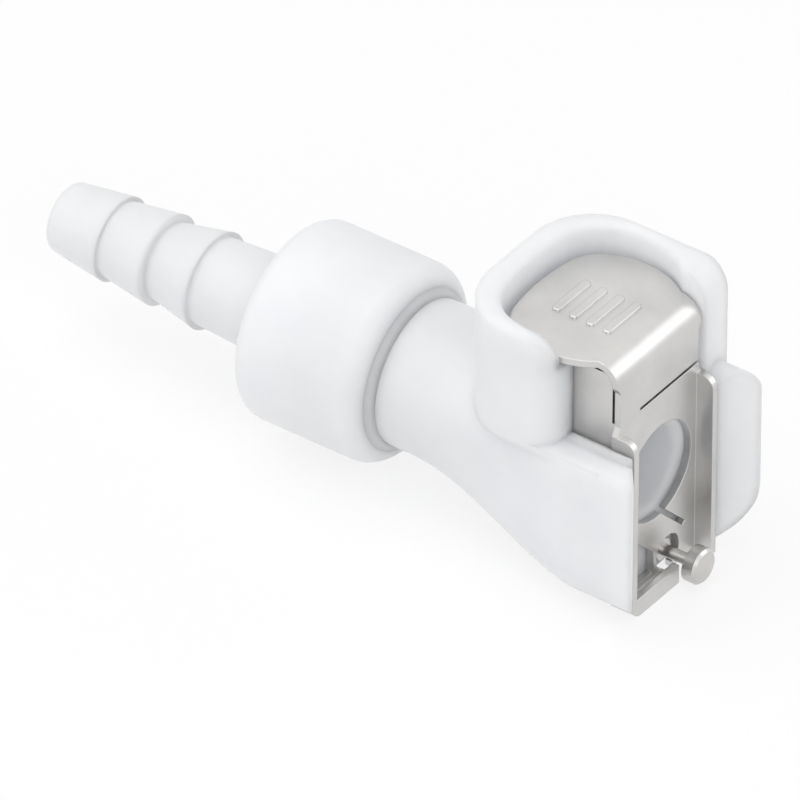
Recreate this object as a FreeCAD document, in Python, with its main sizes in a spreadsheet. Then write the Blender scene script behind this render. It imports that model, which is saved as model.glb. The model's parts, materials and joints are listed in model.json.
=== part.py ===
import FreeCAD, Part
import math
import os
import Sketcher

# Micro quick coupling: the valved body half with a hose barb and a thumb latch.
# All sizes are millimetres. The origin is on the bore axis, in the plane of the mouth (the ears' front).
# +X points out of the mouth, +Z up to the thumb pad. A "depth" is a distance behind the mouth plane.

SIZES = [
    ("ear_half_width", 5.7, "half the width over the two ears"),
    ("ear_top", 4.75, "height of the ears' top above the bore axis"),
    ("ear_top_round", 1.6, "rounding of the ears' upper outer edges"),
    ("ear_nose_round", 3.2, "rounding of the ears' lower front corner, seen from the side"),
    ("ear_brow_round", 1.6, "rounding of the ears' upper front corner, seen from the side"),
    ("ear_flare_depth", 1.4, "depth at which the ears' inner faces start to flare towards the mouth"),
    ("ear_edge", 0.15, "thickness of the ears' front edge, outside the flare"),
    ("sill_outer", 5.1, "sideways distance at which the ears' tops start to slope inwards"),
    ("sill_inner", 3.6, "height of the ears' tops at the latch"),
    ("head_bottom", 6.35, "depth of the head's flat underside below the axis"),
    ("head_corner", 3.85, "corner radius of the head's lower half"),
    ("head_full_depth", 4.6, "depth at which the head reaches its full section"),
    ("ramp_front_depth", 6.8, "depth of the first ramp section"),
    ("ramp_front_share", 0.82, "growth of the ramp there, from neck to head"),
    ("ramp_rear_depth", 11.2, "depth of the second ramp section"),
    ("ramp_rear_share", 0.3, "growth of the ramp there, from neck to head"),
    ("neck_radius", 4.05, "outer radius of the neck"),
    ("neck_front_depth", 16.6, "depth at which the ramp meets the neck"),
    ("section_flat", 0.05, "flat left beside the corners of the round neck section"),
    ("guard_half_width", 5.7, "half the outer width of the guard"),
    ("guard_rim", 10.4, "height of the guard's rim above the axis"),
    ("guard_rear_depth", 11.7, "depth of the guard's back"),
    ("guard_corner", 3.8, "plan radius of the guard's rear corners"),
    ("guard_front_depth", 2.2, "depth of the guard's front ends"),
    ("guard_front_round", 1.9, "rounding of the guard's front corner, seen from the side"),
    ("guard_base", 3.2, "height at which the guard has its full plan"),
    ("guard_foot", 1.5, "how far below the axis the guard's underside starts"),
    ("guard_inset", 1.1, "how far inside its full plan the guard starts there"),
    ("guard_rim_round", 0.38, "rounding of the guard's rim"),
    ("window_depth", 5.3, "depth to which the near side of the guard is cut back"),
    ("window_round", 1.4, "plan rounding of the guard's outer edge at that cut"),
    ("latch_face_depth", 2.35, "depth of the latch plate's front face"),
    ("sheet_thickness", 0.4, "thickness of the latch sheet"),
    ("latch_gap", 0.1, "running gap on each face of the latch"),
    ("latch_half_width", 3.65, "half the width of the latch plate over its flanges"),
    ("flange_length", 1.05, "how far the latch flanges stand forward of the plate"),
    ("flange_top", 4.6, "height of the top of the latch flanges"),
    ("flange_round", 0.7, "rounding of the flanges' upper front corners"),
    ("latch_bottom", 6.6, "depth of the latch's lower edge below the axis, latch held down"),
    ("latch_corner", 0.8, "outer corner radius of the latch's lower edge"),
    ("lip_height", 1.1, "height of the turned-up lip"),
    ("lip_end", 0.45, "where the floor and lip stop, beside the lock pin"),
    ("pad_top", 8.95, "height of the thumb pad's top, latch held down"),
    ("pad_bend", 1.3, "outer radius of the bend from pad to plate"),
    ("pad_side_radius", 4.7, "plan radius of the pad's sides"),
    ("pad_shoulder_depth", 8.2, "depth where the pad's side meets its rear corner"),
    ("pad_shoulder_half", 4.2, "half the pad's width there"),
    ("pad_corner_radius", 2.5, "plan radius of the pad's rear corners"),
    ("pad_rear_depth", 9.75, "depth where the pad's rear corner meets its rear edge"),
    ("pad_rear_half", 2.4, "half the width of the pad's rear edge"),
    ("pad_rear_radius", 12.0, "plan radius of the pad's rear edge"),
    ("pad_gap", 0.35, "gap between the pad and the guard"),
    ("pad_floor_gap", 0.3, "gap between the pad and the floor below it"),
    ("wing_half_width", 3.4, "half the width over the latch's guide wings"),
    ("wing_bottom", 3.2, "height of the wings' lower edge, latch held down"),
    ("wing_top_gap", 0.35, "gap between the wings and the pad above them"),
    ("wing_relief", 0.15, "gap between the wings and the plate above the level cut"),
    ("wing_length", 3.7, "how far the wings reach behind the plate"),
    ("wing_floor_gap", 0.2, "gap between the wings and the slot floor"),
    ("latch_hole_radius", 2.85, "radius of the round hole in the latch plate"),
    ("latch_hole_height", 0.3, "height of that hole's centre, latch held down"),
    ("slit_width", 0.2, "width of the cuts in the latch plate"),
    ("slit_height", 5.2, "height of the level cut"),
    ("slit_start", 1.7, "distance of the level cut's inner end from the middle"),
    ("band_line", 2.07, "offset of the slanted cut: sum of side and height"),
    ("band_start", 0.2, "sideways place of the slanted cut's upper end"),
    ("band_end", 2.3, "sideways place of the slanted cut's lower end"),
    ("web_line", 5.0, "offset of the three-sided opening's slanted edge"),
    ("web_inset", 0.35, "metal left between that opening and the flange"),
    ("web_end", 0.4, "distance of that opening's blunt end from the middle, on the near side"),
    ("web_floor", 0.3, "metal left between that opening and the latch floor"),
    ("pin_side", 0.9, "sideways distance of the lock pin from the axis"),
    ("pin_drop", 5.35, "distance of the lock pin below the axis"),
    ("pin_head_radius", 1.0, "radius of the lock pin's head"),
    ("pin_head_depth", 0.02, "depth of the head's front face, pin out"),
    ("pin_head_length", 0.78, "thickness of the head"),
    ("pin_neck_radius", 0.32, "radius of the neck that runs in the latch's slot"),
    ("pin_step_length", 0.15, "how far the shank reaches into the latch plate and so holds the latch down"),
    ("pin_shank_radius", 0.62, "radius of the lock pin's shank"),
    ("pin_shank_length", 1.8, "length of the shank"),
    ("pin_clearance", 0.04, "radial clearance of the shank in its bore"),
    ("pin_bore_depth", 6.4, "depth of the lock pin bore's end"),
    ("keyhole_radius", 1.0, "radius of the keyhole's round end in the latch"),
    ("keyhole_slot", 0.38, "half the width of the keyhole's slot"),
    ("pin_wire", 0.24, "wire diameter of the lock pin spring"),
    ("pin_coil", 0.42, "mean coil radius of the lock pin spring"),
    ("pin_turns", 4.0, "turns of the lock pin spring"),
    ("bore_radius", 2.5, "radius of the bore that takes the insert"),
    ("bore_length", 5.65, "length of that bore"),
    ("bore_chamfer", 0.35, "chamfer at the bore's mouth"),
    ("throat_radius", 1.9, "radius of the valve throat"),
    ("throat_length", 1.2, "length of the valve throat"),
    ("chamber_radius", 3.1, "radius of the valve chamber"),
    ("collar_radius", 5.5, "outer radius of the collar"),
    ("collar_length", 7.8, "length of the collar"),
    ("collar_front_depth", 17.6, "depth of the collar's front edge"),
    ("collar_front_round", 1.25, "rounding of the collar's front edge"),
    ("collar_rear_round", 0.9, "rounding of the collar's rear edge"),
    ("socket_length", 3.9, "how far the body reaches into the collar"),
    ("socket_clearance", 0.03, "radial clearance of that socket"),
    ("spigot_radius", 3.05, "outer radius of the spigot inside the body's rear end"),
    ("spigot_length", 2.4, "how far the spigot reaches forward of the socket's floor"),
    ("stem_radius", 2.65, "radius of the hose stem at the collar"),
    ("stem_waist", 2.42, "radius of the hose stem behind the last barb"),
    ("stem_length", 4.8, "length of the stem, from the collar to the last barb"),
    ("stem_fillet", 0.6, "fillet between the stem and the collar"),
    ("barb_pitch", 3.0, "distance from barb to barb"),
    ("barb_crest_rear", 2.7, "crest radius of the barb next to the stem"),
    ("barb_crest_middle", 2.52, "crest radius of the middle barb"),
    ("barb_crest_front", 2.35, "crest radius of the barb at the tip"),
    ("barb_root", 2.1, "radius between the barbs"),
    ("tip_radius", 1.95, "radius of the tip"),
    ("tip_length", 3.5, "length of the tip, from the first barb"),
    ("tip_round", 0.45, "rounding of the tip's edge"),
    ("barb_bore", 1.2, "radius of the bore through the barb"),
    ("poppet_nose_radius", 1.8, "radius of the poppet's fluted nose"),
    ("poppet_nose_length", 1.2, "length of the nose ahead of the seal seat"),
    ("poppet_rib", 0.8, "thickness of the nose's ribs"),
    ("poppet_head_radius", 2.75, "radius of the poppet's head"),
    ("poppet_head_length", 0.9, "length of the head"),
    ("poppet_stem_radius", 1.15, "radius of the stem that guides the spring"),
    ("poppet_stem_length", 3.2, "length of that stem"),
    ("seal_wire", 0.45, "radius of the valve seal's round section"),
    ("seal_radius", 2.2, "mean radius of the valve seal"),
    ("seal_gap", 0.03, "gap between the seal and its seats"),
    ("valve_wire", 0.35, "wire diameter of the valve spring"),
    ("valve_coil", 1.95, "mean coil radius of the valve spring"),
    ("valve_turns", 6.0, "turns of the valve spring"),
    ("latch_wire", 0.35, "wire diameter of the latch spring"),
    ("latch_coil", 1.15, "mean coil radius of the latch spring"),
    ("latch_turns", 4.5, "turns of the latch spring"),
    ("latch_spring_depth", 6.6, "depth of the latch spring's axis"),
    ("spring_pocket_radius", 1.5, "radius of the latch spring's pocket"),
    ("spring_pocket_floor", 4.5, "height of that pocket's floor"),
    ("pin_edge", 0.15, "chamfer on the lock pin's head"),
    ("window_sill_depth", 2.8, "depth where the sill of that cut starts to fall"),
    ("window_sill", 3.7, "height of the sill at the back of that cut"),
    ("beyond", 1.0, "how far a cut reaches past the material"),
    ("spring_seat_gap", 0.03, "gap between a spring's end and its seat"),
]


class Size:
    """A length together with the sheet formula that it comes from."""

    def __init__(self, value, formula):
        self.value = float(value)
        self.formula = formula

    @staticmethod
    def of(item):
        """Wrap a plain number, and leave a Size as it is."""
        return item if isinstance(item, Size) else Size(item, repr(float(item)))

    def combine(self, other, value, sign):
        return Size(value, "(%s%s%s)" % (self.formula, sign, Size.of(other).formula))

    def __add__(self, other):
        return self.combine(other, self.value + Size.of(other).value, "+")

    def __sub__(self, other):
        return self.combine(other, self.value - Size.of(other).value, "-")

    def __mul__(self, other):
        return self.combine(other, self.value * Size.of(other).value, "*")

    def __truediv__(self, other):
        return self.combine(other, self.value / Size.of(other).value, "/")

    def __neg__(self):
        return Size(-self.value, "(0-%s)" % self.formula)

    def __radd__(self, other):
        return Size.of(other) + self

    def __rsub__(self, other):
        return Size.of(other) - self

    def __rmul__(self, other):
        return Size.of(other) * self


doc = FreeCAD.newDocument("MicroCoupling")
sheet = doc.addObject("Spreadsheet::Sheet", "Sizes")
for row, (alias, value, note) in enumerate(SIZES, start=1):
    sheet.set("A%d" % row, alias)
    sheet.set("B%d" % row, str(value))
    sheet.set("C%d" % row, note)
    sheet.setAlias("B%d" % row, alias)
doc.recompute()


class Sheet:
    """The named sizes, each read as an attribute."""


S = Sheet()
for alias, value, note in SIZES:
    setattr(S, alias, Size(sheet.get(alias), "Sizes." + alias))


def vector(x, y, z=0.0):
    """A FreeCAD vector from sizes or numbers."""
    return FreeCAD.Vector(Size.of(x).value, Size.of(y).value, Size.of(z).value)


def new_body(label):
    """A part design body whose label names its file."""
    body = doc.addObject("PartDesign::Body", label)
    body.Label = label
    return body


def new_sketch(body, name, role, offset=None):
    """A sketch on one of the body's own origin planes, moved along its normal by a bound offset."""
    sketch = body.newObject("Sketcher::SketchObject", name)
    plane = [item for item in body.Origin.OriginFeatures if item.Role == role][0]
    sketch.AttachmentSupport = [(plane, "")]
    sketch.MapMode = "FlatFace"
    if offset is not None:
        sketch.AttachmentOffset = FreeCAD.Placement(vector(0, 0, offset), FreeCAD.Rotation())
        sketch.setExpression("AttachmentOffset.Base.z", offset.formula)
    return sketch


def constrain(sketch, kind, *places):
    """Add a constraint whose last item is its size, and bind that size to the sheet."""
    size = Size.of(places[-1])
    index = sketch.addConstraint(Sketcher.Constraint(kind, *places[:-1], size.value))
    sketch.setExpression("Constraints[%d]" % index, size.formula)


def arc_between(start, end, radius):
    """The short arc from start to end; a positive radius turns left on the way."""
    chord = end - start
    half = chord.Length / 2
    rise = math.sqrt(max(radius * radius - half * half, 0.0))
    left = FreeCAD.Vector(-chord.y, chord.x, 0).normalize()
    side = 1 if radius > 0 else -1
    centre = (start + end) * 0.5 + left * rise * side
    circle = Part.Circle(centre, FreeCAD.Vector(0, 0, 1), abs(radius))
    first = math.atan2(start.y - centre.y, start.x - centre.x)
    last = math.atan2(end.y - centre.y, end.x - centre.x)
    return Part.ArcOfCircle(circle, first, last) if side > 0 else Part.ArcOfCircle(circle, last, first)


def draw_outline(sketch, corners):
    """Close an outline through corners (x, y), or (x, y, radius) where an arc leads to the next one."""
    count = len(corners)
    first = sketch.GeometryCount
    ends = []
    for index, corner in enumerate(corners):
        start = vector(corner[0], corner[1])
        end = vector(*corners[(index + 1) % count][:2])
        if len(corner) == 3:
            radius = Size.of(corner[2])
            sketch.addGeometry(arc_between(start, end, radius.value), False)
            ends.append((1, 2) if radius.value > 0 else (2, 1))
        else:
            sketch.addGeometry(Part.LineSegment(start, end), False)
            ends.append((1, 2))
    for index, corner in enumerate(corners):
        following = (index + 1) % count
        sketch.addConstraint(Sketcher.Constraint(
            "Coincident", first + index, ends[index][1], first + following, ends[following][0]))
        constrain(sketch, "DistanceX", -1, 1, first + index, ends[index][0], corner[0])
        constrain(sketch, "DistanceY", -1, 1, first + index, ends[index][0], corner[1])
        if len(corner) == 3:
            radius = Size.of(corner[2])
            constrain(sketch, "Radius", first + index, radius if radius.value > 0 else -radius)


def draw_circle(sketch, x, y, radius):
    """A full circle at a bound centre."""
    index = sketch.addGeometry(Part.Circle(vector(x, y), FreeCAD.Vector(0, 0, 1), Size.of(radius).value), False)
    constrain(sketch, "DistanceX", -1, 1, index, 3, x)
    constrain(sketch, "DistanceY", -1, 1, index, 3, y)
    constrain(sketch, "Radius", index, radius)


def turned(body, name, corners, cut=False):
    """Turn an outline drawn in the XZ plane about the X axis, as material or as a groove."""
    sketch = new_sketch(body, name + "_outline", "XZ_Plane")
    draw_outline(sketch, corners)
    feature = body.newObject("PartDesign::Groove" if cut else "PartDesign::Revolution", name)
    feature.Profile = sketch
    feature.ReferenceAxis = (sketch, ["H_Axis"])
    feature.Angle = 360
    return finish(feature, cut)


def finish(feature, cut=False):
    """Recompute a feature and make sure that it changed its body."""
    base = feature.BaseFeature
    before = base.Shape.Volume if base else 0.0
    doc.recompute()
    change = feature.Shape.Volume - before
    if (change >= 0) if cut else (change <= 0):
        raise RuntimeError("%s changed nothing: %.4f" % (feature.Name, change))
    return feature


def block(body, name, role, start, end, *shapes, cut=False):
    """Pad or pocket one or more closed shapes between two bound levels along the plane's normal."""
    sketch = new_sketch(body, name + "_outline", role, start)
    for shape in shapes:
        if isinstance(shape, tuple):
            draw_circle(sketch, *shape)
        else:
            draw_outline(sketch, shape)
    feature = body.newObject("PartDesign::Pocket" if cut else "PartDesign::Pad", name)
    feature.Profile = sketch
    feature.Reversed = cut
    length = end - start
    feature.Length = length.value
    feature.setExpression("Length", length.formula)
    return finish(feature, cut)


def rectangle(left, right, bottom, top):
    """Corners of an upright rectangle."""
    return [(left, bottom), (right, bottom), (right, top), (left, top)]


def rounded_section(half_width, top, bottom, low_round, high_round):
    """Corners of a section with rounded corners, drawn leftwards from the lower right."""
    return [
        (-half_width + low_round, -bottom),
        (half_width - low_round, -bottom, low_round),
        (half_width, -bottom + low_round),
        (half_width, top - high_round, high_round),
        (half_width - high_round, top),
        (-half_width + high_round, top, high_round),
        (-half_width, top - high_round),
        (-half_width, -bottom + low_round, low_round),
    ]


def edges_where(shape, test):
    """Names of the edges of a shape that pass a test."""
    return ["Edge%d" % number for number, edge in enumerate(shape.Edges, start=1) if test(edge)]


def rounded(body, name, test, radius, kind="PartDesign::Fillet"):
    """Round or chamfer the edges of the body's tip that pass a test."""
    base = body.Tip
    names = edges_where(base.Shape, test)
    if not names:
        raise RuntimeError("%s found no edges" % name)
    feature = body.newObject(kind, name)
    feature.Base = (base, names)
    size = "Radius" if kind.endswith("Fillet") else "Size"
    setattr(feature, size, radius.value)
    feature.setExpression(size, radius.formula)
    doc.recompute()
    return feature


def near(value, size, slack=1e-4):
    """Whether a coordinate equals a size."""
    return abs(value - Size.of(size).value) < slack


def level_at(edge, height):
    """Whether an edge lies flat at a height."""
    box = edge.BoundBox
    return near(box.ZMin, height) and near(box.ZMax, height)


# Places that several pieces share.
plate_back_depth = S.latch_face_depth + S.sheet_thickness
body_face_depth = plate_back_depth + S.latch_gap
ear_inner = S.latch_half_width + S.latch_gap
flange_front_depth = S.latch_face_depth - S.flange_length
pad_underside = S.pad_top - S.sheet_thickness
pad_floor = pad_underside - S.pad_floor_gap
bore_end_depth = body_face_depth + S.bore_length
seat_depth = bore_end_depth + S.throat_length
body_end_depth = S.collar_front_depth + S.socket_length
spring_seat_depth = body_end_depth + S.socket_clearance - S.spigot_length
collar_rear_depth = S.collar_front_depth + S.collar_length
bend_depth = S.latch_face_depth + S.pad_bend
wing_end_depth = plate_back_depth + S.wing_length
pin_rear_depth = plate_back_depth - S.pin_step_length + S.pin_shank_length
MOUTH = Size(0, "0")
NOTHING = Size(0, "0")
WHOLE = Size(1, "1")


def pad_plan(gap, front_half, front_depth):
    """Plan outline of the thumb pad, widened by a gap, from its front edge round its back."""
    shoulder = S.pad_shoulder_depth + gap
    rear = S.pad_rear_depth + gap
    return [
        (-front_depth, front_half),
        (-bend_depth, front_half, S.pad_side_radius + gap),
        (-shoulder, S.pad_shoulder_half + gap, S.pad_corner_radius + gap),
        (-rear, S.pad_rear_half + gap, S.pad_rear_radius),
        (-rear, -(S.pad_rear_half + gap), S.pad_corner_radius + gap),
        (-shoulder, -(S.pad_shoulder_half + gap), S.pad_side_radius + gap),
        (-bend_depth, -front_half),
        (-front_depth, -front_half),
    ]


def head_section(share):
    """Section of the head where it has grown from the neck to full size by a share."""
    def grown(neck, head):
        return neck + (head - neck) * share
    neck_round = S.neck_radius - S.section_flat
    return rounded_section(
        grown(S.neck_radius, S.ear_half_width),
        grown(S.neck_radius, S.ear_top),
        grown(S.neck_radius, S.head_bottom),
        grown(neck_round, S.head_corner),
        grown(neck_round, S.ear_top_round))


def guard_plan(inset):
    """Plan outline of the guard, drawn in by an inset at its sides and its back."""
    half = S.guard_half_width - inset
    rear = S.guard_rear_depth - inset
    corner = S.guard_corner - inset
    return [
        (-S.guard_front_depth, -half),
        (-S.guard_front_depth, half),
        (-(rear - corner), half, corner),
        (-rear, half - corner),
        (-rear, -(half - corner), corner),
        (-(rear - corner), -half),
    ]


def make_main_body():
    """The moulded body: neck, ramped head, guard, ears, latch slots, bores and valve seat."""
    body = new_body("main_body")
    sections = []
    for name, depth, share in (
            ("neck_section", S.neck_front_depth, NOTHING),
            ("ramp_rear_section", S.ramp_rear_depth, S.ramp_rear_share),
            ("ramp_front_section", S.ramp_front_depth, S.ramp_front_share),
            ("head_section", S.head_full_depth, WHOLE)):
        sketch = new_sketch(body, name, "YZ_Plane", -depth)
        draw_outline(sketch, head_section(share))
        sections.append(sketch)
    ramp = body.newObject("PartDesign::AdditiveLoft", "ramp")
    ramp.Profile = sections[0]
    ramp.Sections = sections[1:]
    finish(ramp)
    block(body, "ears", "YZ_Plane", -S.head_full_depth, MOUTH, head_section(WHOLE))
    turned(body, "neck", [
        (-S.neck_front_depth, 0),
        (-S.neck_front_depth, S.neck_radius),
        (-body_end_depth, S.neck_radius),
        (-body_end_depth, 0),
    ])
    guard_sections = []
    for name, height, inset in (
            ("guard_foot_section", -S.guard_foot, S.guard_inset),
            ("guard_base_section", S.guard_base, NOTHING)):
        sketch = new_sketch(body, name, "XY_Plane", height)
        draw_outline(sketch, guard_plan(inset))
        guard_sections.append(sketch)
    underside = body.newObject("PartDesign::AdditiveLoft", "guard_underside")
    underside.Profile = guard_sections[0]
    underside.Sections = guard_sections[1:]
    finish(underside)
    block(body, "guard", "XY_Plane", S.guard_base, S.guard_rim, guard_plan(NOTHING))
    latch_slot(body)
    soft_edges(body)
    side_shapes(body)
    ear_tops(body)
    bores(body)
    return body


def latch_slot(body):
    """Clear the way for the latch: the space between the ears, the pad recess and the wing slots."""
    flare = S.ear_half_width - S.ear_edge
    half = [
        (-body_face_depth, ear_inner),
        (-S.ear_flare_depth, ear_inner),
        (0, flare),
        (S.beyond, flare),
    ]
    other_half = [(x, -y) for x, y in reversed(half)]
    block(body, "ear_gap", "XY_Plane", -S.guard_rear_depth, S.guard_rear_depth, half + other_half, cut=True)
    block(body, "pad_recess", "XY_Plane", pad_floor, S.guard_rim + S.beyond,
          pad_plan(S.pad_gap, ear_inner, -S.beyond), cut=True)
    slot_inner = S.wing_half_width - S.sheet_thickness - S.latch_gap
    slot_outer = S.wing_half_width + S.latch_gap
    slot_end = wing_end_depth + S.wing_floor_gap
    for name, low, high in (("near_wing_slot", -slot_outer, -slot_inner), ("far_wing_slot", slot_inner, slot_outer)):
        block(body, name, "XY_Plane", S.wing_bottom - S.wing_floor_gap, S.guard_rim + S.beyond,
              rectangle(-slot_end, -S.latch_face_depth, low, high), cut=True)


def front_corner(front_depth, top, radius, above):
    """Outline, seen from the side, of what lies outside a rounded upper front corner."""
    return [
        (-front_depth, top - radius, radius),
        (-(front_depth + radius), top),
        (-(front_depth + radius), above),
        (S.beyond, above),
        (S.beyond, top - radius),
    ]


def side_shapes(body):
    """Shape the ears and the guard as seen from the side."""
    width = S.guard_half_width + S.beyond
    nose = S.ear_nose_round
    bend_room = S.pad_bend - S.sheet_thickness + S.latch_gap
    block(body, "ear_nose", "XZ_Plane", -width, width, [
        (-nose, -S.head_bottom, nose),
        (0, -S.head_bottom + nose),
        (S.beyond, -S.head_bottom + nose),
        (S.beyond, -S.head_bottom - S.beyond),
        (-nose, -S.head_bottom - S.beyond),
    ], cut=True)
    block(body, "ear_brow", "XZ_Plane", -width, width,
          front_corner(MOUTH, S.ear_top, S.ear_brow_round, S.ear_top + S.beyond / 2), cut=True)
    block(body, "guard_front", "XZ_Plane", -width, width,
          front_corner(S.guard_front_depth, S.guard_rim, S.guard_front_round, S.guard_rim + S.beyond), cut=True)
    window = front_corner(S.window_depth, S.guard_rim, S.guard_front_round, S.guard_rim + S.beyond)
    block(body, "near_window", "XZ_Plane", S.wing_half_width, width, window[:4] + [
        (S.beyond, S.ear_top),
        (-S.window_sill_depth, S.ear_top),
        (-S.window_depth, S.window_sill),
    ], cut=True)
    block(body, "block_front", "XZ_Plane", -S.wing_half_width, S.wing_half_width,
          front_corner(body_face_depth, pad_floor, bend_room, S.guard_rim), cut=True)


def ear_tops(body):
    """Round the end of the guard's near wall and slope the ears' tops inwards."""
    outer = S.guard_half_width
    turn = S.window_round
    block(body, "window_edge", "XY_Plane", S.window_sill, S.guard_rim + S.beyond, [
        (-(S.window_depth + turn), -outer, turn),
        (-S.window_depth, -(outer - turn)),
        (S.beyond, -(outer - turn)),
        (S.beyond, -(outer + S.beyond)),
        (-(S.window_depth + turn), -(outer + S.beyond)),
    ], cut=True)
    sill = [
        (S.sill_outer, S.ear_top),
        (S.wing_half_width, S.sill_inner),
        (S.wing_half_width, S.ear_top + S.beyond),
        (S.sill_outer, S.ear_top + S.beyond),
    ]
    near_sill = [(-y, z) for y, z in reversed(sill)]
    block(body, "near_ear_top", "YZ_Plane", -S.window_depth, S.beyond, near_sill, cut=True)
    block(body, "far_ear_top", "YZ_Plane", -S.guard_front_depth, S.beyond, sill, cut=True)


def bores(body):
    """Cut the main bore with its valve throat and chamber, the spring pocket and the lock pin bore."""
    mouth = S.bore_radius + S.bore_chamfer
    turned(body, "main_bore", [
        (-S.latch_face_depth, 0),
        (-S.latch_face_depth, mouth),
        (-body_face_depth, mouth),
        (-(body_face_depth + S.bore_chamfer), S.bore_radius),
        (-bore_end_depth, S.bore_radius),
        (-bore_end_depth, S.throat_radius),
        (-seat_depth, S.throat_radius),
        (-seat_depth, S.chamber_radius),
        (-(body_end_depth + S.beyond), S.chamber_radius),
        (-(body_end_depth + S.beyond), 0),
    ], cut=True)
    block(body, "spring_pocket", "XY_Plane", S.spring_pocket_floor, S.guard_rim,
          (-S.latch_spring_depth, 0, S.spring_pocket_radius), cut=True)
    block(body, "lock_pin_bore", "YZ_Plane", -S.pin_bore_depth, -S.latch_face_depth,
          (S.pin_side, -S.pin_drop, S.pin_shank_radius + S.pin_clearance), cut=True)


def soft_edges(body):
    """Round the moulded edges that the hand meets."""
    rounded(body, "rim_round", lambda edge: level_at(edge, S.guard_rim), S.guard_rim_round)


def make_hose_barb():
    """The moulded hose end: collar with socket and spigot, tapered stem and three barbs."""
    body = new_body("hose_barb")
    socket = S.neck_radius + S.socket_clearance
    front_edge = S.collar_front_round
    rear_edge = S.collar_rear_round
    stem_end = collar_rear_depth + S.stem_length
    middle = stem_end + S.barb_pitch
    front = middle + S.barb_pitch
    tip = front + S.tip_length
    floor = body_end_depth + S.socket_clearance
    turned(body, "barb_and_collar", [
        (-S.collar_front_depth, socket),
        (-S.collar_front_depth, S.collar_radius - front_edge, front_edge),
        (-(S.collar_front_depth + front_edge), S.collar_radius),
        (-(collar_rear_depth - rear_edge), S.collar_radius, rear_edge),
        (-collar_rear_depth, S.collar_radius - rear_edge),
        (-collar_rear_depth, S.stem_radius + S.stem_fillet, -S.stem_fillet),
        (-(collar_rear_depth + S.stem_fillet), S.stem_radius),
        (-stem_end, S.stem_waist),
        (-stem_end, S.barb_crest_rear),
        (-middle, S.barb_root),
        (-middle, S.barb_crest_middle),
        (-front, S.barb_root),
        (-front, S.barb_crest_front),
        (-(tip - S.tip_round), S.tip_radius, S.tip_round),
        (-tip, S.tip_radius - S.tip_round),
        (-tip, S.barb_bore),
        (-spring_seat_depth, S.barb_bore),
        (-spring_seat_depth, S.spigot_radius),
        (-floor, S.spigot_radius),
        (-floor, socket),
    ])
    return body


def make_thumb_latch():
    """The stamped latch: pad, bend, plate with its hole and cuts, guide wings, flanges and lip."""
    body = new_body("thumb_latch")
    bend_low = S.pad_top - S.pad_bend
    strip_end = S.pad_rear_depth + S.pad_gap
    strip_half = S.pad_side_radius
    block(body, "bent_strip", "XZ_Plane", -strip_half, strip_half, [
        (-strip_end, pad_underside),
        (-bend_depth, pad_underside, -(S.pad_bend - S.sheet_thickness)),
        (-plate_back_depth, bend_low),
        (-S.latch_face_depth, bend_low, S.pad_bend),
        (-bend_depth, S.pad_top),
        (-strip_end, S.pad_top),
    ])
    block(body, "pad_trim", "XY_Plane", bend_low, S.pad_top + S.beyond,
          rectangle(-(strip_end + S.beyond), S.beyond, -(strip_half + S.beyond), strip_half + S.beyond),
          pad_plan(NOTHING, S.latch_half_width, NOTHING), cut=True)
    latch_plate(body, bend_low)
    latch_cuts(body)
    latch_wings(body)
    latch_flanges(body)
    return body


def latch_plate(body, bend_low):
    """The upright plate below the bend, wider where its flanges start."""
    neck_low = bend_low - S.sheet_thickness
    shoulder_top = S.flange_top + S.flange_length / 2
    corner = S.latch_corner
    half = S.latch_half_width
    block(body, "plate", "YZ_Plane", -plate_back_depth, -S.latch_face_depth, [
        (-half, bend_low),
        (-S.wing_half_width, neck_low),
        (-S.wing_half_width, shoulder_top),
        (-half, S.flange_top),
        (-half, -(S.latch_bottom - corner), corner),
        (-(half - corner), -S.latch_bottom),
        (half, -S.latch_bottom),
        (half, S.flange_top),
        (S.wing_half_width, shoulder_top),
        (S.wing_half_width, neck_low),
        (half, bend_low),
    ])


def latch_cuts(body):
    """The round hole, the keyhole for the lock pin, the two slits and the three-sided opening."""
    back = -(plate_back_depth + S.latch_gap)
    front = -(S.latch_face_depth - S.latch_gap)
    slit = S.slit_width / 2
    inset = S.latch_half_width - S.sheet_thickness - S.web_inset
    web_bottom = S.latch_bottom - S.sheet_thickness - S.web_floor
    block(body, "insert_hole", "YZ_Plane", back, front,
          (NOTHING, S.latch_hole_height, S.latch_hole_radius), cut=True)
    block(body, "keyhole", "YZ_Plane", back, front,
          (S.pin_side, -S.pin_drop, S.keyhole_radius), cut=True)
    block(body, "keyhole_slot", "YZ_Plane", back, front, rectangle(
        S.pin_side - S.keyhole_slot, S.pin_side + S.keyhole_slot,
        -(S.latch_bottom + S.beyond), -S.pin_drop), cut=True)
    block(body, "level_slit", "YZ_Plane", back, front, rectangle(
        -S.slit_start, S.latch_half_width + S.beyond,
        S.slit_height, S.slit_height + S.slit_width), cut=True)
    start, end = S.band_start, S.band_end
    block(body, "slanted_slit", "YZ_Plane", back, front, [
        (start - slit, -(S.band_line + start) - slit),
        (end - slit, -(S.band_line + end) - slit),
        (end + slit, -(S.band_line + end) + slit),
        (start + slit, -(S.band_line + start) + slit),
    ], cut=True)
    block(body, "web_opening", "YZ_Plane", back, front, [
        (-inset, -web_bottom),
        (-S.web_end, -web_bottom),
        (-S.web_end, -(S.web_line - S.web_end)),
        (-inset, -(S.web_line - inset)),
    ], cut=True)


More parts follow.
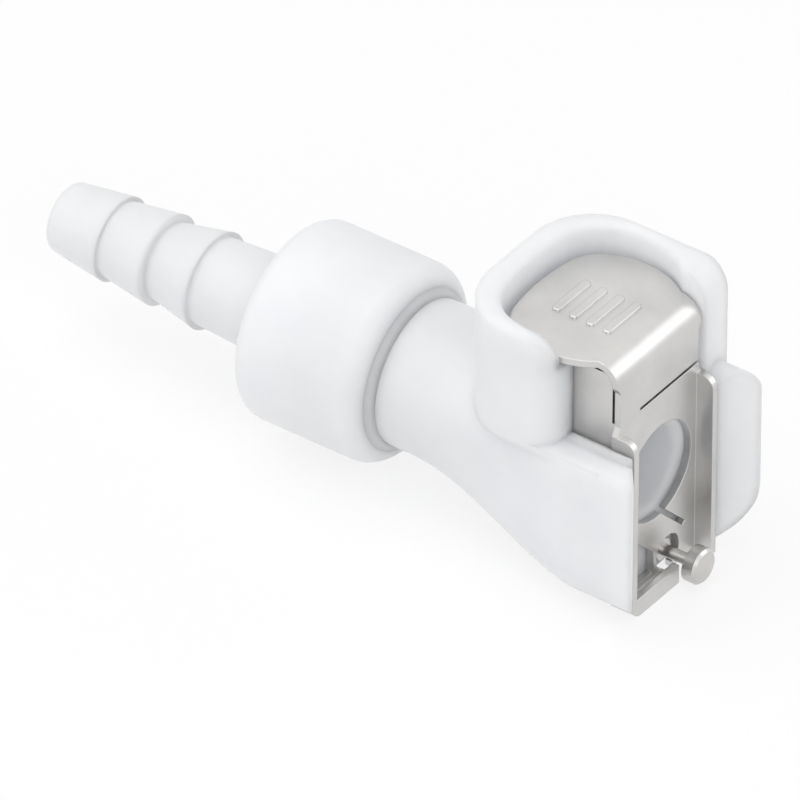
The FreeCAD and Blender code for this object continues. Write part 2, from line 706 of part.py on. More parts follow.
def latch_wings(body):
    """The two guide wings that reach back into the body from the plate's shoulders."""
    inner = S.wing_half_width - S.sheet_thickness
    front = plate_back_depth + S.wing_relief
    top = pad_underside - S.wing_top_gap
    for name, low in (("near_wing", inner), ("far_wing", -S.wing_half_width)):
        block(body, name, "XZ_Plane", low, low + S.sheet_thickness, [
            (-(S.latch_face_depth + S.sheet_thickness / 2), S.wing_bottom),
            (-(S.latch_face_depth + S.sheet_thickness / 2), S.slit_height),
            (-front, S.slit_height),
            (-front, top),
            (-wing_end_depth, top),
            (-wing_end_depth, S.wing_bottom),
        ])


def latch_flanges(body):
    """The flanges that stand forward of the plate, the floor between them and its turned-up lip."""
    half = S.latch_half_width
    inner = half - S.sheet_thickness
    corner = S.latch_corner
    bottom = S.latch_bottom
    floor = bottom - S.sheet_thickness
    inner_corner = corner - S.sheet_thickness
    block(body, "near_flange", "YZ_Plane", -S.latch_face_depth, -flange_front_depth, [
        (-half, S.flange_top),
        (-half, -(bottom - corner), corner),
        (-(half - corner), -bottom),
        (S.lip_end, -bottom),
        (S.lip_end, -floor),
        (-(half - corner), -floor, -inner_corner),
        (-inner, -(bottom - corner)),
        (-inner, S.flange_top),
    ])
    block(body, "far_flange", "YZ_Plane", -S.latch_face_depth, -flange_front_depth,
          rectangle(inner, half, -bottom, S.flange_top))
    block(body, "lip", "YZ_Plane", -(flange_front_depth + S.sheet_thickness), -flange_front_depth, [
        (-half, -(bottom - S.lip_height)),
        (-half, -(bottom - corner), corner),
        (-(half - corner), -bottom),
        (S.lip_end, -bottom),
        (S.lip_end, -(bottom - S.lip_height)),
    ])
    rounded(body, "flange_top_round", lambda edge: (
        level_at(edge, S.flange_top) and near(edge.BoundBox.XMin, -flange_front_depth)
        and near(edge.BoundBox.XMax, -flange_front_depth)), S.flange_round)


def make_lock_pin():
    """The turned lock pin: head, neck and shank, on its own axis."""
    body = new_body("lock_pin")
    head_rear = S.pin_head_depth + S.pin_head_length
    shank_front = plate_back_depth - S.pin_step_length
    edge = S.pin_edge
    turned(body, "pin", [
        (-S.pin_head_depth, 0),
        (-S.pin_head_depth, S.pin_head_radius - edge),
        (-(S.pin_head_depth + edge), S.pin_head_radius),
        (-head_rear, S.pin_head_radius),
        (-head_rear, S.pin_neck_radius),
        (-shank_front, S.pin_neck_radius),
        (-shank_front, S.pin_shank_radius),
        (-pin_rear_depth, S.pin_shank_radius),
        (-pin_rear_depth, 0),
    ])
    body.setExpression("Placement.Base.y", S.pin_side.formula)
    body.setExpression("Placement.Base.z", (-S.pin_drop).formula)
    return body


def make_valve_poppet():
    """The moulded poppet: ribbed nose, hub under the seal, head and spring stem."""
    body = new_body("valve_poppet")
    head_front = seat_depth + S.seal_wire * 2 + S.seal_gap * 2
    head_rear = head_front + S.poppet_head_length
    hub = S.seal_radius - S.seal_wire - S.seal_gap
    turned(body, "head_and_stem", [
        (-(seat_depth + S.seal_gap), 0),
        (-(seat_depth + S.seal_gap), hub),
        (-head_front, hub),
        (-head_front, S.poppet_head_radius),
        (-head_rear, S.poppet_head_radius),
        (-head_rear, S.poppet_stem_radius),
        (-(head_rear + S.poppet_stem_length), S.poppet_stem_radius),
        (-(head_rear + S.poppet_stem_length), 0),
    ])
    rib = S.poppet_rib / 2
    reach = S.poppet_nose_radius
    start = -(seat_depth + S.seal_gap * 2)
    nose_front = -(seat_depth - S.poppet_nose_length)
    block(body, "upright_ribs", "YZ_Plane", start, nose_front, rectangle(-rib, rib, -reach, reach))
    block(body, "level_ribs", "YZ_Plane", start, nose_front, rectangle(-reach, reach, -rib, rib))
    return body


def make_valve_seal():
    """The O-ring between the poppet's head and the seat."""
    ring = doc.addObject("Part::Torus", "valve_seal")
    ring.Label = "valve_seal"
    ring.setExpression("Radius1", S.seal_radius.formula)
    ring.setExpression("Radius2", S.seal_wire.formula)
    ring.Placement = FreeCAD.Placement(vector(0, 0), FreeCAD.Rotation(vector(0, 1), 90))
    ring.setExpression("Placement.Base.x", (-(seat_depth + S.seal_gap + S.seal_wire)).formula)
    return ring


def make_spring(label, start, end, coil, wire, turns, placement):
    """A round-wire compression spring between two levels on its own axis, placed in the model."""
    rise = end.value - start.value - wire.value
    path = Part.makeHelix(rise / turns.value, rise, coil.value)
    section = Part.Wire(Part.makeCircle(
        wire.value / 2, FreeCAD.Vector(coil.value, 0, 0), FreeCAD.Vector(0, 1, 0)))
    spring = doc.addObject("Part::Feature", label)
    spring.Label = label
    spring.Shape = Part.Wire(path.Edges).makePipeShell([section], True, True)
    spring.Placement = placement.multiply(
        FreeCAD.Placement(vector(0, 0, start + wire / 2), FreeCAD.Rotation()))
    return spring


def make_springs():
    """The springs under the thumb pad, behind the lock pin and behind the poppet."""
    along = FreeCAD.Rotation(vector(0, 1), 90)
    gap = S.spring_seat_gap
    head_rear = seat_depth + S.seal_wire * 2 + S.seal_gap * 2 + S.poppet_head_length
    return [
        make_spring("latch_spring", S.spring_pocket_floor + gap, pad_underside - gap, S.latch_coil,
                    S.latch_wire, S.latch_turns,
                    FreeCAD.Placement(vector(-S.latch_spring_depth, 0), FreeCAD.Rotation())),
        make_spring("lock_pin_spring", -(S.pin_bore_depth - gap), -(pin_rear_depth + gap), S.pin_coil,
                    S.pin_wire, S.pin_turns,
                    FreeCAD.Placement(vector(0, S.pin_side, -S.pin_drop), along)),
        make_spring("valve_spring", -(spring_seat_depth - gap), -(head_rear + gap), S.valve_coil,
                    S.valve_wire, S.valve_turns, FreeCAD.Placement(vector(0, 0), along)),
    ]


def export(pieces):
    """Check every object of the document, then write one file for each piece."""
    doc.recompute()
    for item in doc.Objects:
        if "Invalid" in item.State or "Error" in item.State:
            raise RuntimeError("%s is not sound: %s" % (item.Name, item.State))
    for piece in pieces:
        shape = piece.Shape
        if shape.isNull() or not shape.isValid() or len(shape.Solids) != 1:
            raise RuntimeError("%s has no single valid solid" % piece.Label)
    os.makedirs("parts", exist_ok=True)
    for piece in pieces:
        piece.Shape.exportStep("parts/%s.step" % piece.Label)
        print("%-16s %8.2f mm3" % (piece.Label, piece.Shape.Volume))


export([
    make_main_body(),
    make_hose_barb(),
    make_thumb_latch(),
    make_lock_pin(),
    make_valve_poppet(),
    make_valve_seal(),
] + make_springs())
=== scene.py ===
"""Looks of the micro quick coupling: a white moulded body half with a steel thumb latch and a hose barb.

Every length is in metres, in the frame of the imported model: the origin is the centre of the mouth, +X points
out of the mouth along the bore and +Z up to the thumb pad.
"""

import logging
import math
from dataclasses import dataclass, field
from enum import Enum
from typing import Any, Callable, Dict, List, Optional, Sequence, Tuple

import bpy
from mathutils import Matrix, Vector
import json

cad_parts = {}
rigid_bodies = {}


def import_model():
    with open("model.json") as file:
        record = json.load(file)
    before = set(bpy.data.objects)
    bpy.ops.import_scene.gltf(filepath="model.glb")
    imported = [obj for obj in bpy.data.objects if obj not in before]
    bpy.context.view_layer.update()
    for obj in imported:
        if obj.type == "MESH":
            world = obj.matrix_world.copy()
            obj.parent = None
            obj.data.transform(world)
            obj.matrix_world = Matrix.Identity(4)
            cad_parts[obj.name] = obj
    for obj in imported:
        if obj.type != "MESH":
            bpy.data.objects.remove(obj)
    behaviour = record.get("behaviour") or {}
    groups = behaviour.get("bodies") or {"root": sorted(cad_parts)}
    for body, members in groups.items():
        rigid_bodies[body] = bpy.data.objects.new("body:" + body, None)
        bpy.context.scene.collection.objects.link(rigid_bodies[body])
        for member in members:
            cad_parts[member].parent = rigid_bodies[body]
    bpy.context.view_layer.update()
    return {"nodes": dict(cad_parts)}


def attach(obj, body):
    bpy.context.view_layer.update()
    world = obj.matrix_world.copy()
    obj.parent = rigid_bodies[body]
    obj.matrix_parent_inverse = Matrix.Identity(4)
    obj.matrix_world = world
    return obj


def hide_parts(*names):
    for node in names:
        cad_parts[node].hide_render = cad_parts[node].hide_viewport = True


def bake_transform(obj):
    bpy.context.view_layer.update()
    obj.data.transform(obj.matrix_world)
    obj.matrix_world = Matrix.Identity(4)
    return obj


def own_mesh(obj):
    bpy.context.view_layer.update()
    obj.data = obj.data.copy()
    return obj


LOG = logging.getLogger("coupling")
MM = 0.001
# Vertices of a packed spring nearer than this are one vertex.
SAME_POINT = 0.0001 * MM
# Samples of the shader that rounds edges, in every finish that has it.
EDGE_SAMPLES = 6
# Edges sharper than these angles, in degrees, stay crisp.
CRISP_MOULDING = 30.0
CRISP_SMALL_PART = 50.0
CRISP_ROUND_WIRE = 60.0

Links = Dict[str, Tuple[bpy.types.Node, str]]
Nodes = Dict[str, bpy.types.Object]
Point = Tuple[float, float, float]


class Slot(Enum):
    """The record's material slots that new pieces take their finish from."""

    ACETAL = "acetal"
    LATCH_STEEL = "latch_steel"
    SPRING_STEEL = "spring_steel"


class Grain(Enum):
    """Which way a metal's fine lines run, as the stretch of their pattern along X, Y and Z."""

    ALONG_BEND = (1.0, 0.06, 1.0)
    EVEN = (1.0, 1.0, 1.0)


def linear(code: str) -> Tuple[float, float, float, float]:
    """Turn an sRGB colour code into the linear colour that a shader takes.

    Args:
        code: Six hexadecimal digits.

    Returns:
        Red, green, blue and alpha.
    """
    channels = []
    for start in (0, 2, 4):
        value = int(code[start:start + 2], 16) / 255
        channels.append(value / 12.92 if value <= 0.04045 else ((value + 0.055) / 1.055) ** 2.4)
    return (channels[0], channels[1], channels[2], 1.0)


def add_node(tree: bpy.types.NodeTree, kind: str, settings: Optional[Dict[str, Any]] = None,
             links: Optional[Links] = None) -> bpy.types.Node:
    """Add a node, give it its settings and link its inputs.

    Args:
        tree: The node tree that it goes into.
        kind: The node's type.
        settings: Names of its properties or input sockets, with their values.
        links: Names of its input sockets, each with the node and the output that feed it.

    Returns:
        The new node.
    """
    node = tree.nodes.new(kind)
    for name, value in (settings or {}).items():
        if name in node.inputs:
            node.inputs[name].default_value = value
        else:
            setattr(node, name, value)
    for name, (source, output) in (links or {}).items():
        tree.links.new(source.outputs[output], node.inputs[name])
    return node


def new_material(name: str) -> Tuple[bpy.types.Material, bpy.types.Node, bpy.types.NodeTree]:
    """Make a material with an empty principled shader.

    Args:
        name: The finish's name.

    Returns:
        The material, its shader and its node tree.
    """
    material = bpy.data.materials.new(name)
    material.use_nodes = True
    tree = material.node_tree
    tree.nodes.clear()
    shader = add_node(tree, "ShaderNodeBsdfPrincipled")
    add_node(tree, "ShaderNodeOutputMaterial", links={"Surface": (shader, "BSDF")})
    return material, shader, tree


@dataclass(frozen=True)
class MouldedPlastic:
    """Acetal as it leaves the mould: matt and milky, with soft edges and a barely uneven white."""

    name: str
    bright: str
    dull: str
    roughness: float
    edge: float
    ior: float = 1.48
    cloud_size: float = 3.846 * MM
    dull_below: float = 0.3
    bright_above: float = 0.7
    gloss_below: float = 0.05
    gloss_above: float = 0.07
    # The real skin's grit is finer; it is drawn this coarse so that it shows.
    skin_size: float = 0.3846 * MM
    skin_depth: float = 0.012 * MM
    skin_strength: float = 0.35
    glow_share: float = 0.7
    glow_depth: float = 2.4 * MM

    def make(self) -> bpy.types.Material:
        """Build the material."""
        material, shader, tree = new_material(self.name)
        place = add_node(tree, "ShaderNodeTexCoord")
        # Cloudy variation of the moulded skin, a few millimetres across.
        cloud = add_node(tree, "ShaderNodeTexNoise", {"Scale": 1.0 / self.cloud_size, "Detail": 3.0},
                         {"Vector": (place, "Object")})
        colour = add_node(tree, "ShaderNodeValToRGB", links={"Fac": (cloud, "Fac")})
        colour.color_ramp.elements[0].position = self.dull_below
        colour.color_ramp.elements[0].color = linear(self.dull)
        colour.color_ramp.elements[1].position = self.bright_above
        colour.color_ramp.elements[1].color = linear(self.bright)
        tree.links.new(colour.outputs["Color"], shader.inputs["Base Color"])
        # Gloss that varies a little where the mould is more polished.
        gloss = add_node(tree, "ShaderNodeMapRange", {
            "To Min": self.roughness - self.gloss_below,
            "To Max": self.roughness + self.gloss_above,
        }, {"Value": (cloud, "Fac")})
        tree.links.new(gloss.outputs["Result"], shader.inputs["Roughness"])
        # Fine spark-eroded skin over rounded edges.
        skin = add_node(tree, "ShaderNodeTexNoise", {"Scale": 1.0 / self.skin_size, "Detail": 2.0},
                        {"Vector": (place, "Object")})
        soft = add_node(tree, "ShaderNodeBevel", {"samples": EDGE_SAMPLES, "Radius": self.edge})
        bump = add_node(tree, "ShaderNodeBump",
                        {"Strength": self.skin_strength, "Distance": self.skin_depth},
                        {"Height": (skin, "Fac"), "Normal": (soft, "Normal")})
        tree.links.new(bump.outputs["Normal"], shader.inputs["Normal"])
        shader.inputs["IOR"].default_value = self.ior
        # Light that seeps through the walls of the moulding.
        shader.inputs["Subsurface Weight"].default_value = self.glow_share
        shader.inputs["Subsurface Radius"].default_value = (1.0, 1.0, 1.0)
        shader.inputs["Subsurface Scale"].default_value = self.glow_depth
        return material


@dataclass(frozen=True)
class DrawnSteel:
    """Stainless steel with the fine lines of rolling, turning or drawing: a satin grey that streaks light."""

    name: str
    bright: str
    dull: str
    roughness: float
    edge: float
    grain: Grain = Grain.ALONG_BEND
    mark_size: float = 2.381 * MM
    dull_below: float = 0.3
    bright_above: float = 0.72
    gloss_below: float = 0.06
    gloss_above: float = 0.1
    # Rolled lines are finer; they are drawn this far apart so that they show.
    line_spacing: float = 0.1923 * MM
    line_depth: float = 0.004 * MM
    line_strength: float = 0.3

    def make(self) -> bpy.types.Material:
        """Build the material."""
        material, shader, tree = new_material(self.name)
        place = add_node(tree, "ShaderNodeTexCoord")
        stretch = add_node(tree, "ShaderNodeMapping", {"Scale": self.grain.value},
                           {"Vector": (place, "Object")})
        # Fine lines left by the rollers or the lathe.
        lines = add_node(tree, "ShaderNodeTexNoise", {"Scale": 1.0 / self.line_spacing, "Detail": 3.0},
                         {"Vector": (stretch, "Vector")})
        # Broad tarnish and handling marks.
        marks = add_node(tree, "ShaderNodeTexNoise", {"Scale": 1.0 / self.mark_size, "Detail": 4.0},
                         {"Vector": (place, "Object")})
        colour = add_node(tree, "ShaderNodeValToRGB", links={"Fac": (marks, "Fac")})
        colour.color_ramp.elements[0].position = self.dull_below
        colour.color_ramp.elements[0].color = linear(self.dull)
        colour.color_ramp.elements[1].position = self.bright_above
        colour.color_ramp.elements[1].color = linear(self.bright)
        tree.links.new(colour.outputs["Color"], shader.inputs["Base Color"])
        gloss = add_node(tree, "ShaderNodeMapRange", {
            "To Min": self.roughness - self.gloss_below,
            "To Max": self.roughness + self.gloss_above,
        }, {"Value": (lines, "Fac")})
        tree.links.new(gloss.outputs["Result"], shader.inputs["Roughness"])
        soft = add_node(tree, "ShaderNodeBevel", {"samples": EDGE_SAMPLES, "Radius": self.edge})
        bump = add_node(tree, "ShaderNodeBump",
                        {"Strength": self.line_strength, "Distance": self.line_depth},
                        {"Height": (lines, "Fac"), "Normal": (soft, "Normal")})
        tree.links.new(bump.outputs["Normal"], shader.inputs["Normal"])
        shader.inputs["Metallic"].default_value = 1.0
        return material


@dataclass(frozen=True)
class SealRubber:
    """Moulded rubber of an O-ring: near black, with a faint bloom."""

    name: str = "seal_rubber_black"
    base: str = "1B1B1D"
    bloom: str = "2A2A2D"
    roughness: float = 0.55
    bloom_size: float = 1.111 * MM
    bloom_depth: float = 0.01 * MM
    bloom_strength: float = 0.3

    def make(self) -> bpy.types.Material:
        """Build the material."""
        material, shader, tree = new_material(self.name)
        place = add_node(tree, "ShaderNodeTexCoord")
        bloom = add_node(tree, "ShaderNodeTexNoise", {"Scale": 1.0 / self.bloom_size, "Detail": 4.0},
                         {"Vector": (place, "Object")})
        colour = add_node(tree, "ShaderNodeValToRGB", links={"Fac": (bloom, "Fac")})
        colour.color_ramp.elements[0].color = linear(self.base)
        colour.color_ramp.elements[1].color = linear(self.bloom)
        tree.links.new(colour.outputs["Color"], shader.inputs["Base Color"])
        bump = add_node(tree, "ShaderNodeBump",
                        {"Strength": self.bloom_strength, "Distance": self.bloom_depth},
                        {"Height": (bloom, "Fac")})
        tree.links.new(bump.outputs["Normal"], shader.inputs["Normal"])
        shader.inputs["Roughness"].default_value = self.roughness
        return material


def dress(nodes: Nodes, name: str, material: bpy.types.Material, angle: float) -> None:
    """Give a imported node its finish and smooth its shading.

    Args:
        nodes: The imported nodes.
        name: The node to dress.
        material: Its finish.
        angle: Edges sharper than this many degrees stay crisp.
    """
    target = nodes[name]
    target.data.materials.clear()
    target.data.materials.append(material)
    bpy.ops.object.select_all(action="DESELECT")
    target.select_set(True)
    bpy.context.view_layer.objects.active = target
    bpy.ops.object.shade_smooth_by_angle(angle=math.radians(angle))
    target.select_set(False)
    LOG.info("%s dressed as %s", name, material.name)


def coil_copy(nodes: Nodes, node: str, material: bpy.types.Material) -> bpy.types.Object:
    """Stand a copy of a packed spring in its place, ready to be pressed or drawn out.

    Args:
        nodes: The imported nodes.
        node: The spring's node.
        material: The spring's finish.

    Returns:
        The copy, which rides on nothing yet.
    """
    bpy.ops.object.select_all(action="DESELECT")
    nodes[node].select_set(True)
    bpy.context.view_layer.objects.active = nodes[node]
    bpy.ops.object.duplicate()
    bpy.ops.object.parent_clear(type="CLEAR_KEEP_TRANSFORM")
    piece = bpy.context.active_object
    piece.name = node + "_coil"
    piece.data.name = piece.name
    bpy.ops.object.mode_set(mode="EDIT")
    bpy.ops.mesh.select_all(action="SELECT")
    bpy.ops.mesh.remove_doubles(threshold=SAME_POINT)
    bpy.ops.mesh.normals_make_consistent(inside=False)
    bpy.ops.object.mode_set(mode="OBJECT")
    piece.data.materials.clear()
    piece.data.materials.append(material)
    bpy.ops.object.shade_smooth_by_angle(angle=math.radians(CRISP_ROUND_WIRE))
    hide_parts(node)
    return piece


def coil_that_squashes(nodes: Nodes, node: str, joint: str,
                       material: bpy.types.Material) -> None:
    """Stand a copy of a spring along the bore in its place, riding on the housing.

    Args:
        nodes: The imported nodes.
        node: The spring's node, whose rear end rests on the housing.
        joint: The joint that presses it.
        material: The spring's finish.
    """
    piece = coil_copy(nodes, node, material)
    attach(piece, "housing")
    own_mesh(piece)
    LOG.info("%s follows %s", piece.name, joint)


def coil_that_stretches(nodes: Nodes, node: str, body: str, material: bpy.types.Material) -> None:
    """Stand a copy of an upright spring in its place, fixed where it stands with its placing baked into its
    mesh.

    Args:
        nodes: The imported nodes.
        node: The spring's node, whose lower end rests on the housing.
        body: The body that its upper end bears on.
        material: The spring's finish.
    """
    piece = coil_copy(nodes, node, material)
    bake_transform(piece)
    LOG.info("%s stretches with %s", piece.name, body)


def pick_faces(piece: bpy.types.Object, test: Callable[[bpy.types.MeshPolygon], bool]) -> None:
    """Select the faces of a piece that pass a test, and open it in edit mode.

    Args:
        piece: The piece to work on.
        test: Says whether a face is taken.
    """
    bpy.ops.object.mode_set(mode="OBJECT")
    for polygon in piece.data.polygons:
        polygon.select = test(polygon)
    for edge in piece.data.edges:
        edge.select = False
    for vertex in piece.data.vertices:
        vertex.select = False
    bpy.ops.object.mode_set(mode="EDIT")
    bpy.ops.mesh.select_mode(type="FACE")


@dataclass
class BodySet:
    """The moulded body and the hose end, in white acetal, with the weld between them."""

    plastic: MouldedPlastic = MouldedPlastic("acetal_white_moulded", "F0F1F3", "EAECEF", 0.42, 0.7 * MM)
    weld_front: float = 17.2 * MM
    weld_rear: float = 17.9 * MM
    neck_radius: float = 4.03 * MM
    weld_radius: float = 4.8 * MM
    weld_root_radius: float = 3.6 * MM
    weld_steps: int = 128

    def weld(self) -> bpy.types.Object:
        """Model the soft weld where the collar's front edge meets the neck.

        Returns:
            The weld, at the origin and unscaled.
        """
        bpy.ops.object.select_all(action="DESELECT")
        bpy.ops.mesh.primitive_cone_add(
            vertices=self.weld_steps, radius1=self.weld_radius, radius2=self.neck_radius,
            depth=self.weld_rear - self.weld_front, end_fill_type="NOTHING",
            location=(-(self.weld_front + self.weld_rear) / 2, 0.0, 0.0),
            rotation=(0.0, math.radians(90.0), 0.0))
        piece = bpy.context.active_object
        piece.name = "collar_weld"
        piece.data.name = piece.name
        bpy.ops.object.transform_apply(location=True, rotation=True, scale=True)
        thicken = piece.modifiers.new("thicken", "SOLIDIFY")
        thicken.thickness = self.neck_radius - self.weld_root_radius
        thicken.offset = -1.0
        bpy.ops.object.modifier_apply(modifier=thicken.name)
        bpy.ops.object.shade_smooth_by_angle(angle=math.radians(CRISP_SMALL_PART))
        return piece

    def build(self, nodes: Nodes) -> None:
        """Dress the two mouldings and lay the weld.

        Args:
            nodes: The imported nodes.
        """
        material = self.plastic.make()
        dress(nodes, "main_body", material, CRISP_MOULDING)
        dress(nodes, "hose_barb", material, CRISP_MOULDING)
        weld = self.weld()
        weld.data.materials.append(material)
        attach(weld, "housing")
        LOG.info("%s laid round the neck", weld.name)


@dataclass
class GripPips:
    """A row of low raised bars pressed into the thumb pad, where a thumb needs grip."""

    pad_top: float = 8.95 * MM
    rise: float = 0.14 * MM
    length: float = 3.0 * MM
    width: float = 0.5 * MM
    pitch: float = 1.05 * MM
    first_depth: float = 4.75 * MM
    count: int = 4
    end_round_share: float = 0.48
    end_round_steps: int = 6
    crown_share: float = 0.35
    rim_round_share: float = 0.6
    rim_round_steps: int = 3
    faces_up: float = 0.9

    def bar(self, name: str, depth: float) -> bpy.types.Object:
        """Model one bar with rounded ends and a softened top.

        Args:
            name: The bar's name.
            depth: How far it lies behind the mouth.

        Returns:
            The bar, at the origin and unscaled.
        """
        bpy.ops.object.select_all(action="DESELECT")
        bpy.ops.mesh.primitive_cube_add(size=1.0, location=(-depth, 0.0, self.pad_top))
        piece = bpy.context.active_object
        piece.name = name
        piece.data.name = name
        # Half of the bar's height is sunk in the pad.
        piece.scale = (self.width, self.length, self.rise * 2)
        bpy.ops.object.transform_apply(location=True, rotation=False, scale=True)
        bpy.ops.object.mode_set(mode="EDIT")
        bpy.ops.mesh.select_all(action="DESELECT")
        bpy.ops.mesh.select_mode(type="EDGE")
        bpy.ops.object.mode_set(mode="OBJECT")
        for edge in piece.data.edges:
            first, second = (piece.data.vertices[i].co for i in edge.vertices)
            edge.select = abs(first.z - second.z) > self.rise
        bpy.ops.object.mode_set(mode="EDIT")
        bpy.ops.mesh.bevel(offset=self.width * self.end_round_share, segments=self.end_round_steps,
                           affect="EDGES")
        pick_faces(piece, lambda face: face.normal.z > self.faces_up)
        bpy.ops.mesh.inset(thickness=self.rise * self.crown_share, depth=0.0)
        bpy.ops.object.mode_set(mode="OBJECT")
        soften = piece.modifiers.new("soften", "BEVEL")
        soften.width = self.rise * self.rim_round_share
        soften.segments = self.rim_round_steps
        soften.limit_method = "ANGLE"
        bpy.ops.object.modifier_apply(modifier=soften.name)
        bpy.ops.object.shade_smooth_by_angle(angle=math.radians(CRISP_SMALL_PART))
        return piece

    def build(self, material: bpy.types.Material) -> None:
        """Place the bars on the pad and let them ride with the latch.

        Args:
            material: The latch's own finish.
        """
        for index in range(self.count):
            piece = self.bar("grip_pip_%d" % (index + 1), self.first_depth + self.pitch * index)
            piece.data.materials.append(material)
            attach(piece, "latch")
            LOG.info("%s raised on the pad", piece.name)


@dataclass
class LatchSet:
    """The stamped thumb latch, its lock pin and the springs."""

    sheet: DrawnSteel = DrawnSteel("stainless_sheet_rolled", "D4D3D1", "C9C8C7", 0.34, 0.08 * MM)
    pin: DrawnSteel = DrawnSteel("stainless_rod_turned", "D2D0CD", "C4C2C0", 0.3, 0.05 * MM, Grain.EVEN)
    wire: DrawnSteel = DrawnSteel("spring_wire_drawn", "B9B9BA", "A8A8AA", 0.28, 0.02 * MM, Grain.EVEN)
    pips: GripPips = field(default_factory=GripPips)
    pin_travel: float = 0.45 * MM
    valve_travel: float = 1.6 * MM

    def build(self, nodes: Nodes) -> None:
        """Dress the metal pieces, set up the springs and add the grip bars.

        Args:
            nodes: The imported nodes.
        """
        sheet = self.sheet.make()
        dress(nodes, "thumb_latch", sheet, CRISP_MOULDING)
        dress(nodes, "lock_pin", self.pin.make(), CRISP_MOULDING)
        wire = self.wire.make()
        coil_that_stretches(nodes, "latch_spring", "latch", wire)
        coil_that_squashes(nodes, "lock_pin_spring", "lock_pin_slide", wire)
        coil_that_squashes(nodes, "valve_spring", "valve_slide", wire)
        self.pips.build(sheet)


@dataclass
class ValveSet:
    """The shut-off valve inside the body: poppet and seal."""

    plastic: MouldedPlastic = MouldedPlastic("acetal_poppet_moulded", "E6E8EB", "DFE1E5", 0.42, 0.06 * MM)
    rubber: SealRubber = SealRubber()

    def build(self, nodes: Nodes) -> None:
        """Dress the poppet and its seal.

        Args:
            nodes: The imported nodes.
        """
        dress(nodes, "valve_poppet", self.plastic.make(), CRISP_MOULDING)
        dress(nodes, "valve_seal", self.rubber.make(), CRISP_ROUND_WIRE)


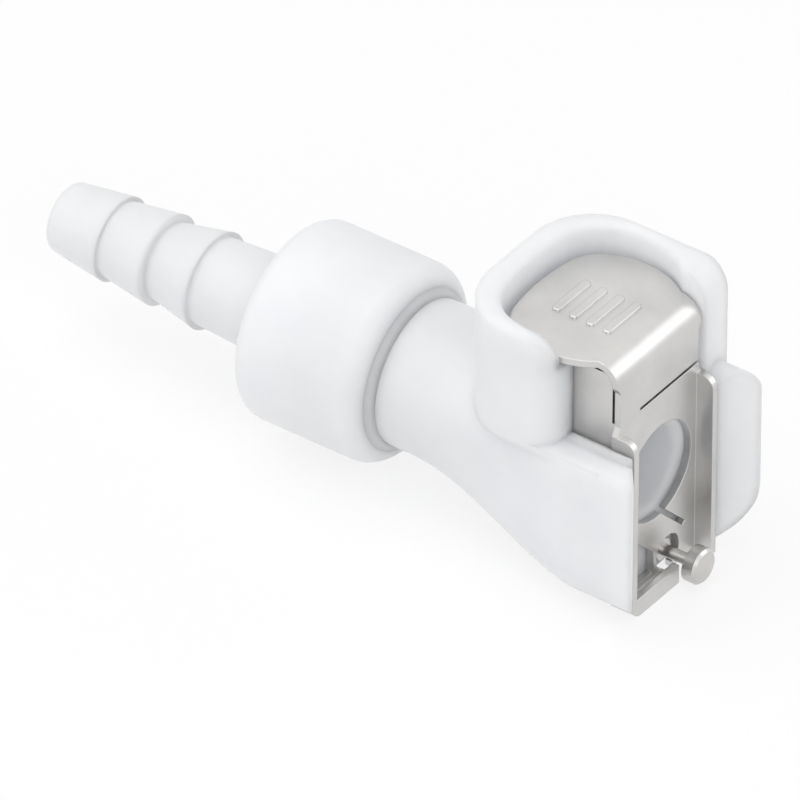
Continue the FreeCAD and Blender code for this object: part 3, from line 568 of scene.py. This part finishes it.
@dataclass
class Studio:
    """Floor, sky, lamps and camera."""

    floor_height: float = -6.61 * MM
    floor_size: float = 1.2
    floor_code: str = "FCFCFC"
    floor_roughness: float = 0.9
    sky_code: str = "FFFFFF"
    sky_level: float = 0.49
    # How much of the floor's own shading the camera sees; the rest is plain white.
    shadow_share: float = 0.22
    target: Point = (-13.91 * MM, -6.48 * MM, 3.64 * MM)
    # From the target towards the camera.
    back: Point = (0.4615, -0.6487, 0.6046)
    distance: float = 1.7
    roll: float = 0.5
    nearest: float = 0.01
    farthest: float = 10.0
    pixels_per_metre: float = 19690.0
    image_width: float = 800.0
    sensor: float = 36.0
    # Name, place, length of the sides and power in watts.
    lamps: Sequence[Tuple[str, Point, float, float]] = (
        ("softbox_over", (-0.10, -0.06, 0.32), 0.30, 0.47),
        ("softbox_left", (-0.26, -0.22, 0.16), 0.26, 0.14),
        ("fill_front", (0.26, -0.22, 0.24), 0.26, 0.36),
        ("strip_bend", (0.20, 0.21, 0.16), 0.22, 0.16),
    )

    def floor(self) -> None:
        """Lay a plain pale floor that keeps only a faint shadow for the camera."""
        bpy.ops.object.select_all(action="DESELECT")
        bpy.ops.mesh.primitive_plane_add(size=self.floor_size, location=(0.0, 0.0, self.floor_height))
        plane = bpy.context.active_object
        plane.name = "studio_floor"
        material, shader, tree = new_material("floor_paper_white")
        shader.inputs["Base Color"].default_value = linear(self.floor_code)
        shader.inputs["Roughness"].default_value = self.floor_roughness
        shader.inputs["Specular IOR Level"].default_value = 0.0
        glow = add_node(tree, "ShaderNodeEmission", {"Color": linear(self.sky_code), "Strength": 1.0})
        path = add_node(tree, "ShaderNodeLightPath")
        seen = self.seen(tree, path)
        share = add_node(tree, "ShaderNodeMath", {"operation": "MULTIPLY"}, {"Value": (seen, "Value")})
        share.inputs[1].default_value = 1.0 - self.shadow_share
        mix = add_node(tree, "ShaderNodeMixShader", links={"Fac": (share, "Value")})
        tree.links.new(shader.outputs["BSDF"], mix.inputs[1])
        tree.links.new(glow.outputs["Emission"], mix.inputs[2])
        output = next(node for node in tree.nodes if node.type == "OUTPUT_MATERIAL")
        tree.links.new(mix.outputs["Shader"], output.inputs["Surface"])
        plane.data.materials.append(material)

    @staticmethod
    def seen(tree: bpy.types.NodeTree, path: bpy.types.Node) -> bpy.types.Node:
        """Join the rays by which a backdrop is seen: camera, glossy and transmitted.

        Args:
            tree: The node tree.
            path: Its light path node.

        Returns:
            A node whose value is 1 for such a ray.
        """
        first = add_node(tree, "ShaderNodeMath", {"operation": "MAXIMUM"},
                         {"Value": (path, "Is Camera Ray")})
        tree.links.new(path.outputs["Is Glossy Ray"], first.inputs[1])
        second = add_node(tree, "ShaderNodeMath", {"operation": "MAXIMUM"}, {"Value": (first, "Value")})
        tree.links.new(path.outputs["Is Transmission Ray"], second.inputs[1])
        return second

    def sky(self) -> None:
        """Surround the object with even light, and show it as white."""
        world = bpy.data.worlds.new("studio_sky")
        bpy.context.scene.world = world
        world.use_nodes = True
        tree = world.node_tree
        tree.nodes.clear()
        path = add_node(tree, "ShaderNodeLightPath")
        seen = self.seen(tree, path)
        level = add_node(tree, "ShaderNodeMapRange", {"To Min": self.sky_level, "To Max": 1.0},
                         {"Value": (seen, "Value")})
        light = add_node(tree, "ShaderNodeBackground", {"Color": linear(self.sky_code)},
                         {"Strength": (level, "Result")})
        add_node(tree, "ShaderNodeOutputWorld", links={"Surface": (light, "Background")})

    def lamp(self, name: str, place: Point, size: float, power: float) -> None:
        """Hang one softbox that faces the object.

        Args:
            name: The lamp's name.
            place: Where it hangs.
            size: The length of its sides.
            power: Its power in watts.
        """
        data = bpy.data.lights.new(name, "AREA")
        data.size = size
        data.energy = power
        lamp = bpy.data.objects.new(name, data)
        bpy.context.scene.collection.objects.link(lamp)
        aim = (Vector(self.target) - Vector(place)).to_track_quat("-Z", "Y")
        lamp.matrix_world = Matrix.Translation(Vector(place)) @ aim.to_matrix().to_4x4()

    def camera(self) -> None:
        """Set the camera at the photograph's angle, with a long lens."""
        data = bpy.data.cameras.new("camera")
        data.sensor_width = self.sensor
        data.lens = self.pixels_per_metre * self.distance / self.image_width * self.sensor
        data.clip_start = self.nearest
        data.clip_end = self.farthest
        camera = bpy.data.objects.new("camera", data)
        bpy.context.scene.collection.objects.link(camera)
        back = Vector(self.back).normalized()
        camera.matrix_world = (Matrix.Translation(Vector(self.target) + back * self.distance)
                               @ (-back).to_track_quat("-Z", "Y").to_matrix().to_4x4()
                               @ Matrix.Rotation(math.radians(self.roll), 4, "Z"))
        bpy.context.scene.camera = camera

    def build(self) -> None:
        """Build the whole studio."""
        self.floor()
        self.sky()
        for name, place, size, power in self.lamps:
            self.lamp(name, place, size, power)
        self.camera()
        bpy.context.scene.view_settings.view_transform = "Standard"
        LOG.info("studio ready")


def main() -> None:
    """Build every piece in order."""
    logging.basicConfig(level=logging.INFO, format="%(name)s: %(message)s")
    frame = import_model()
    nodes = frame["nodes"]
    BodySet().build(nodes)
    LatchSet().build(nodes)
    ValveSet().build(nodes)
    Studio().build()
    bpy.ops.object.select_all(action="DESELECT")


if __name__ == "__main__":
    main()
